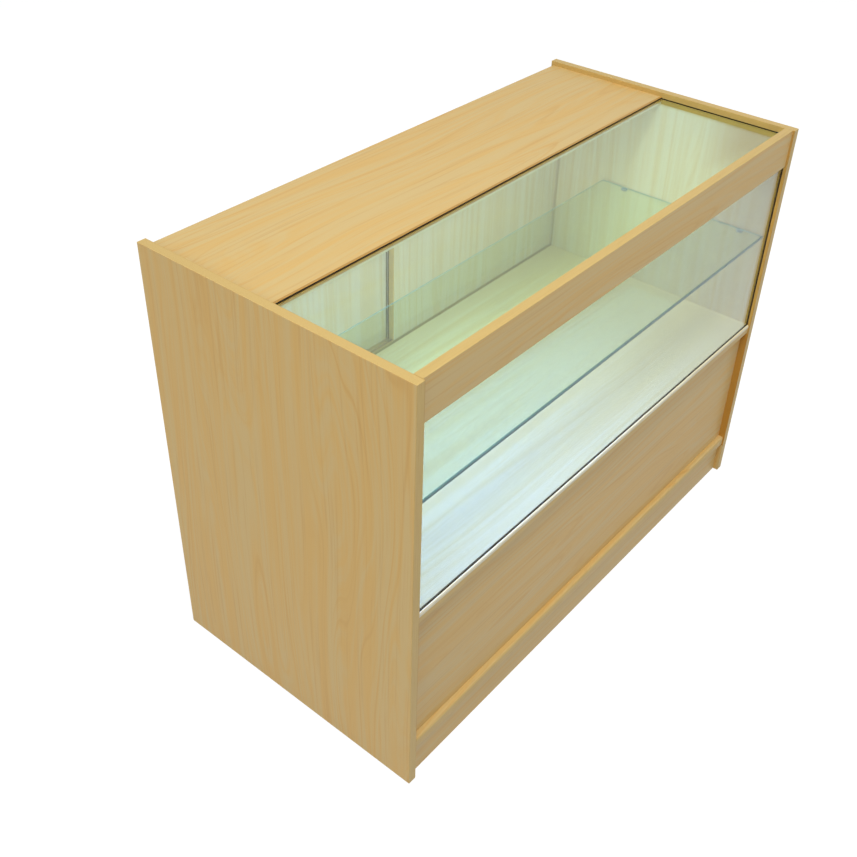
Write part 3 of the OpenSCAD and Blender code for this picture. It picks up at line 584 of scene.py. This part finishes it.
BOARDS = (
    # node, grain, flat, seed, depth, core, faced
    ("left_side_panel", "z", "x", 1.0, EASED_DEPTH, GROOVE_SHADE, "left"),
    ("right_side_panel", "z", "x", 2.3, EASED_DEPTH, GROOVE_SHADE, "right"),
    ("base_panel", "x", "z", 3.1, NOSE_DEPTH, CHIPBOARD, "none"),
    ("front_plinth", "x", "y", 4.7, EASED_DEPTH, CHIPBOARD, "none"),
    ("rear_plinth", "x", "y", 5.2, EASED_DEPTH, CHIPBOARD, "none"),
    ("lower_front_panel", "x", "y", 6.6, EASED_DEPTH, CHIPBOARD, "none"),
    ("display_deck", "x", "z", 7.4, NOSE_DEPTH, GROOVE_SHADE, "deck"),
    ("front_top_rail", "x", "y", 8.9, EASED_DEPTH, GROOVE_SHADE, "none"),
    ("worktop", "x", "z", 9.5, EASED_DEPTH, GROOVE_WOOD, "none"),
    ("upper_door_rail", "x", "y", 11.8, FOILED_DEPTH, CHIPBOARD, "none"),
    ("left_sliding_door", "z", "y", 12.4, EASED_DEPTH, CHIPBOARD, "door"),
    ("right_sliding_door", "z", "y", 13.7, EASED_DEPTH, CHIPBOARD, "door"),
    ("storage_shelf", "x", "z", 14.9, EASED_DEPTH, CHIPBOARD, "none"),
)
for board in BOARDS:
    dress(board[0], laminate_material(*board))

TOP_GLASS = glass_material("glass of the top", linear(230, 251, 238), 0.015,
                           linear(252, 255, 252), 1.38)
# Painted shade: the front pane has a darker, greyer tint than the top pane, which darkens what is
# seen through it
FRONT_GLASS = glass_material("glass of the front", linear(195, 208, 209), 0.012,
                             linear(252, 255, 252), 1.36)
SHELF_GLASS = glass_material("glass of the shelf", linear(238, 249, 236), 0.015,
                             linear(246, 252, 246), 1.42, patch(SHELF_RIM, y=(-282, -276.7)))
PANE_EDGE = ground_edge_material("ground edges of the panes", linear(96, 140, 138),
                                 linear(70, 118, 118), 0.5)
# The shelf's rear and side edges get a painted highlight in a light blue-grey
SHELF_EDGE = ground_edge_material("ground edges of the shelf", linear(16, 100, 98),
                                  linear(12, 86, 84), 0.0, linear(146, 184, 186), -270 * MM)
STUD_PLASTIC = clear_plastic_material("clear plastic of the studs", linear(176, 206, 236))

NYLON = plastic_material("natural nylon", linear(232, 230, 220), linear(220, 216, 202), 0.45)
TRACK = plastic_material("light brown track plastic", linear(200, 178, 130),
                         linear(190, 168, 118), 0.4)
ZINC = metal_material("bright zinc", linear(190, 192, 194), linear(170, 173, 178), 0.32)
NICKEL = metal_material("bright nickel", linear(206, 204, 200), linear(190, 188, 184), 0.16)
SATIN = metal_material("satin nickel", linear(186, 184, 178), linear(172, 170, 164), 0.3,
                       (0.04, 1.0, 1.0))
PLUG = metal_material("nickel-washed brass", linear(206, 196, 168), linear(190, 172, 130), 0.22)
BEECH = beech_material("bare beech")

FINISHES = (
    (NYLON, ("left_door_glides", "right_door_glides", "left_door_guides", "right_door_guides",
             "floor_glides")),
    (TRACK, ("lower_door_track", "upper_door_track")),
    (ZINC, ("lock_screws", "lock_strike", "storage_shelf_pins", "cam_locks", "cam_bolts",
            "door_rail_screws")),
    (NICKEL, ("lock_housing", "lock_plunger")),
    (PLUG, ("lock_key_plug",)),
    (BEECH, ("dowels",)),
)
for material, nodes in FINISHES:
    for node in nodes:
        dress(node, material)


# ---- Glass panes, with ground edges and eased corners ----

def select_edges(mesh, wanted):
    """Selects the edges for which wanted(start, end) is true, and nothing else."""
    mesh.select_mode = {"EDGE"}
    for face in mesh.faces:
        face.select_set(False)
    for edge in mesh.edges:
        edge.select_set(bool(wanted(edge.verts[0].co, edge.verts[1].co)))
    mesh.select_flush_mode()


def apply_bevel(piece, name, width, segments, angle):
    """Bevels the arrises of a piece that turn by more than angle."""
    bevel = piece.modifiers.new(name, "BEVEL")
    bevel.width = width
    bevel.segments = segments
    bevel.limit_method = "ANGLE"
    bevel.angle_limit = angle
    bpy.ops.object.modifier_apply(modifier=bevel.name)
    bpy.ops.object.transform_apply(location=True, rotation=True, scale=True)


def make_pane(name, node, thin, material, edge_material):
    """One pane of float glass in the place of its node. thin is the axis through its thickness."""
    low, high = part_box(node)
    size = [high[i] - low[i] for i in range(3)]
    middle = [(high[i] + low[i]) / 2 for i in range(3)]
    through = "xyz".index(thin)
    bpy.ops.object.select_all(action="DESELECT")
    bpy.ops.mesh.primitive_cube_add(size=1.0, location=middle)
    pane = bpy.context.object
    pane.name = name
    bpy.ops.object.mode_set(mode="EDIT")
    bpy.ops.transform.resize(value=size)
    # The four corners of the sheet are rounded first, then all its arrises are ground
    mesh = bmesh.from_edit_mesh(pane.data)
    select_edges(mesh, lambda a, b: abs((a - b)[through]) > 0.9 * size[through])
    bmesh.update_edit_mesh(pane.data)
    bpy.ops.mesh.bevel(offset=PANE_CORNER, segments=4)
    bpy.ops.object.mode_set(mode="OBJECT")
    apply_bevel(pane, "ground arris", PANE_ARRIS, 1, math.radians(60))
    pane.data.materials.append(material)
    pane.data.materials.append(edge_material)
    for face in pane.data.polygons:
        face.material_index = 0 if abs(face.normal[through]) > 0.9 else 1
    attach(pane, "carcass")
    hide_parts(node)


make_pane("top_pane", "top_glass", "z", TOP_GLASS, PANE_EDGE)
make_pane("front_pane", "front_glass", "y", FRONT_GLASS, PANE_EDGE)
make_pane("shelf_pane", "glass_shelf", "z", SHELF_GLASS, SHELF_EDGE)


# ---- Small fittings, turned and moulded; their measures are in mm ----

TURNS = {
    # direction of the axis, and the rotation that makes a disc face that way
    "y": (Vector((0, 1, 0)), (math.radians(-90), 0.0, 0.0)),
    "x": (Vector((1, 0, 0)), (0.0, math.radians(90), 0.0)),
    "-x": (Vector((-1, 0, 0)), (0.0, math.radians(-90), 0.0)),
}


def turn_piece(name, centre, axis, outline, sides):
    """Turns a piece from a disc: each ring is extruded from the last one, drawn to its radius
    and moved to its height. outline holds (radius, height) pairs, from the disc on, with the
    heights over centre."""
    lean, rotation = TURNS[axis]
    radius, height = outline[0]
    bpy.ops.object.select_all(action="DESELECT")
    bpy.ops.mesh.primitive_circle_add(vertices=sides, radius=radius * MM, fill_type="NGON",
                                      location=Vector(centre) + lean * (height * MM),
                                      rotation=rotation)
    piece = bpy.context.object
    piece.name = name
    bpy.ops.object.transform_apply(location=True, rotation=True, scale=True)
    bpy.ops.object.mode_set(mode="EDIT")
    bpy.ops.mesh.select_all(action="SELECT")
    for new_radius, new_height in outline[1:]:
        bpy.ops.mesh.extrude_region_move(
            TRANSFORM_OT_translate={"value": lean * (new_height - height) * MM})
        grow = new_radius / radius
        bpy.ops.transform.resize(value=(grow, grow, grow),
                                 center_override=Vector(centre) + lean * new_height * MM)
        radius, height = new_radius, new_height
    bpy.ops.mesh.select_all(action="SELECT")
    bpy.ops.mesh.normals_make_consistent(inside=False)
    bpy.ops.object.mode_set(mode="OBJECT")
    bpy.ops.object.shade_smooth_by_angle(angle=SMOOTH_ANGLE)
    return piece


PULL_SIDES = 96
PULL_OUTLINE = (
    # radius, height over the door's back face, from the bottom of the cup to its rim and in again
    (14.2, -11.6), (15.6, -11.3), (16.4, -10.6), (16.6, -9.8), (16.6, -1.25), (19.5, -1.2),
    (19.9, -1.0), (20.0, -0.7), (19.9, -0.35), (19.5, -0.1), (18.8, 0.0), (17.0, 0.0),
    (16.1, -0.15), (15.5, -0.5), (15.12, -1.1), (15.0, -2.0), (15.0, -7.0), (14.8, -8.2),
    (14.1, -9.2), (13.1, -9.8), (12.0, -10.0), (7.0, -10.0), (6.4, -9.9), (1.0, -9.9),
)


def make_finger_pull(node, body):
    """A pressed cup with a rolled rim, flush with the back of its door."""
    low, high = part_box(node)
    centre = ((low[0] + high[0]) / 2, high[1], (low[2] + high[2]) / 2)
    cup = turn_piece(node.replace("finger_pull", "pull_cup"), centre, "y", PULL_OUTLINE, PULL_SIDES)
    cup.data.materials.append(SATIN)
    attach(cup, body)
    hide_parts(node)


make_finger_pull("left_finger_pull", "left_door")
make_finger_pull("right_finger_pull", "right_door")

STUD_SIDES = 48
STUD_OUTLINE = (
    # radius, distance into the case from the side panel, from the peg's end to the collar's face
    (2.1, -11.0), (2.5, -10.5), (2.5, 0.0), (6.6, 0.0), (7.0, 0.3), (7.0, 1.2), (6.7, 1.55),
    (1.0, 1.6),
)
STUD_PEG_R = 2.5                # the peg touches the shelf's plane from below
STUD_FROM_FRONT = 54            # from the shelf's front edge
STUD_FROM_BACK = 61             # from the shelf's rear edge
TONGUE_SIZE = (10.4, 11, 3.5)
TONGUE_REACH = 6.8              # from the side panel to the tongue's middle
TONGUE_ROUND = 4.6              # rounding of its two corners in the case
TONGUE_SOFT = 0.4               # rounding of its arrises


def make_peg(sign, side, y, under):
    """The peg of a stud with its collar, which is cut level under the glass."""
    centre = (sign * side, y, under - STUD_PEG_R * MM)
    peg = turn_piece("stud_peg", centre, "-x" if sign > 0 else "x", STUD_OUTLINE, STUD_SIDES)
    bpy.ops.object.mode_set(mode="EDIT")
    bpy.ops.mesh.select_all(action="SELECT")
    bpy.ops.mesh.bisect(plane_co=(0, 0, under), plane_no=(0, 0, 1), use_fill=True,
                        clear_outer=True)
    bpy.ops.object.mode_set(mode="OBJECT")
    return peg


def make_tongue(sign, side, y, under):
    """The tongue of a stud, which lies under the shelf."""
    bpy.ops.object.select_all(action="DESELECT")
    bpy.ops.mesh.primitive_cube_add(size=1.0, location=(sign * (side - TONGUE_REACH * MM), y,
                                                        under - TONGUE_SIZE[2] / 2 * MM))
    tongue = bpy.context.object
    bpy.ops.object.mode_set(mode="EDIT")
    bpy.ops.transform.resize(value=[size * MM for size in TONGUE_SIZE])
    mesh = bmesh.from_edit_mesh(tongue.data)
    select_edges(mesh, lambda a, b: abs(a.z - b.z) > 3 * MM and a.x * sign < 0)
    bmesh.update_edit_mesh(tongue.data)
    bpy.ops.mesh.bevel(offset=TONGUE_ROUND * MM, segments=10)
    bpy.ops.object.mode_set(mode="OBJECT")
    apply_bevel(tongue, "moulded edge", TONGUE_SOFT * MM, 2, math.radians(30))
    bpy.ops.object.shade_smooth_by_angle(angle=SMOOTH_ANGLE)
    return tongue


def make_studs():
    """Four clear studs, two on each side panel. sign is 1 on the right side and -1 on the left."""
    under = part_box("glass_shelf_studs")[1][2]
    shelf_low, shelf_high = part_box("glass_shelf")
    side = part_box("right_side_panel")[0][0]
    pieces = []
    for y in (shelf_low[1] + STUD_FROM_FRONT * MM, shelf_high[1] - STUD_FROM_BACK * MM):
        for sign in (1.0, -1.0):
            pieces += [make_peg(sign, side, y, under), make_tongue(sign, side, y, under)]
    bpy.ops.object.select_all(action="DESELECT")
    for piece in pieces:
        piece.select_set(True)
    bpy.context.view_layer.objects.active = pieces[0]
    bpy.ops.object.join()
    studs = bpy.context.object
    studs.name = "clear_shelf_studs"
    studs.data.materials.append(STUD_PLASTIC)
    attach(studs, "carcass")
    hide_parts("glass_shelf_studs")


make_studs()


# ---- Camera at the photograph's place ----

CAMERA_PLACE = (-1.5180, -1.0647, 1.7633)
CAMERA_FORWARD = Vector((0.63120606, 0.50947324, -0.58482128))
CAMERA_RIGHT = Vector((0.64111917, -0.76707456, 0.02372408))
CAMERA_DOWN = Vector((-0.43651474, -0.38991492, -0.81081517))
# The picture's width and height, the focal length and the optical middle, in pixels
PICTURE, FOCAL, MIDDLE_X, MIDDLE_Y = 857.0, 1094.03, 430.85, 384.91
SENSOR = 36.0


def make_camera():
    data = bpy.data.cameras.new("camera")
    camera = bpy.data.objects.new("camera", data)
    bpy.context.scene.collection.objects.link(camera)
    turn = Matrix((CAMERA_RIGHT, -CAMERA_DOWN, -CAMERA_FORWARD)).transposed().to_4x4()
    camera.matrix_world = Matrix.Translation(CAMERA_PLACE) @ turn
    data.sensor_fit = "HORIZONTAL"
    data.sensor_width = SENSOR
    data.lens = FOCAL * SENSOR / PICTURE
    data.shift_x = (PICTURE / 2 - MIDDLE_X) / PICTURE
    data.shift_y = (MIDDLE_Y - PICTURE / 2) / PICTURE
    data.clip_start = 0.05
    data.clip_end = 60.0
    bpy.context.scene.camera = camera


make_camera()


# ---- Floor, surroundings and light ----

WHITE = (1.0, 1.0, 1.0, 1.0)
# The rays that show a thing to the camera, directly, mirrored or through glass
SHOWN = ("Is Camera Ray", "Is Glossy Ray", "Is Transmission Ray")


def make_floor():
    """A floor that looks white, and lights the counter like grey paper."""
    bpy.ops.object.select_all(action="DESELECT")
    bpy.ops.mesh.primitive_plane_add(size=14.0, location=(0.0, 0.0, 0.0))
    floor = bpy.context.object
    floor.name = "studio_floor"
    material = bpy.data.materials.new("white floor")
    material.use_nodes = True
    tree = material.node_tree
    tree.nodes.clear()
    paper = put(tree, "ShaderNodeBsdfDiffuse", {"Color": (0.5, 0.5, 0.5, 1.0)})
    faint = put(tree, "ShaderNodeBsdfDiffuse", {"Color": (0.20, 0.20, 0.20, 1.0)})
    white = put(tree, "ShaderNodeEmission", {"Color": WHITE, "Strength": 0.93})
    lit = put(tree, "ShaderNodeAddShader", {0: faint.outputs[0], 1: white.outputs[0]})
    both = put(tree, "ShaderNodeMixShader",
               {0: ray_mask(tree, SHOWN), 1: paper.outputs[0], 2: lit.outputs[0]})
    put(tree, "ShaderNodeOutputMaterial", {0: both.outputs[0]})
    floor.data.materials.append(material)


def make_world():
    """Surroundings that look white, and light the counter less."""
    world = bpy.data.worlds.new("studio")
    bpy.context.scene.world = world
    world.use_nodes = True
    tree = world.node_tree
    tree.nodes.clear()
    light = put(tree, "ShaderNodeBackground", {"Color": (0.97, 0.99, 1.0, 1.0), "Strength": 0.30})
    white = put(tree, "ShaderNodeBackground", {"Color": WHITE, "Strength": 1.0})
    both = put(tree, "ShaderNodeMixShader",
               {0: ray_mask(tree, SHOWN), 1: light.outputs[0], 2: white.outputs[0]})
    put(tree, "ShaderNodeOutputWorld", {0: both.outputs[0]})


LAMPS = (
    # name, place, target, (width, height), power in W, colour, seen
    ("ceiling lamp", (-0.6, -0.85, 3.6), (0.0, 0.05, 0.6), (0.14, 0.14), 14.0,
     (1.0, 1.0, 1.0), True),
    ("ceiling softbox", (-0.5, -0.8, 3.6), (0.0, 0.05, 0.6), (1.4, 1.4), 43.0,
     (1.0, 0.98, 0.92), True),
    ("left softbox", (-3.6, -0.2, 1.8), (0.0, 0.0, 0.5), (2.6, 2.6), 42.5,
     (1.0, 0.955, 0.94), True),
    ("front softbox", (0.3, -3.6, 1.5), (0.0, 0.0, 0.5), (2.6, 2.6), 23.5,
     (0.63, 0.70, 1.0), True),
    ("case light at the left", (-0.28, -0.255, 0.812), (-0.28, -0.16, 0.43), (0.55, 0.04), 1.75,
     (0.08, 0.29, 1.0), False),
    ("case light from the top", (-0.1, -0.13, 0.872), (-0.1, -0.1299, 0.43), (0.9, 0.2), 1.95,
     (1.0, 0.79, 0.48), False),
)


def area_light(name, place, target, size, power, color, seen):
    """A soft lamp at place, aimed at target."""
    data = bpy.data.lights.new(name, "AREA")
    data.shape = "RECTANGLE"
    data.size, data.size_y = size
    data.energy = power
    data.color = color
    lamp = bpy.data.objects.new(name, data)
    bpy.context.scene.collection.objects.link(lamp)
    turn = (Vector(target) - Vector(place)).to_track_quat("-Z", "Y").to_matrix().to_4x4()
    lamp.matrix_world = Matrix.Translation(place) @ turn
    lamp.visible_camera = lamp.visible_glossy = lamp.visible_transmission = seen


make_floor()
make_world()
for lamp in LAMPS:
    area_light(*lamp)

scene = bpy.context.scene
scene.view_settings.view_transform = "Standard"
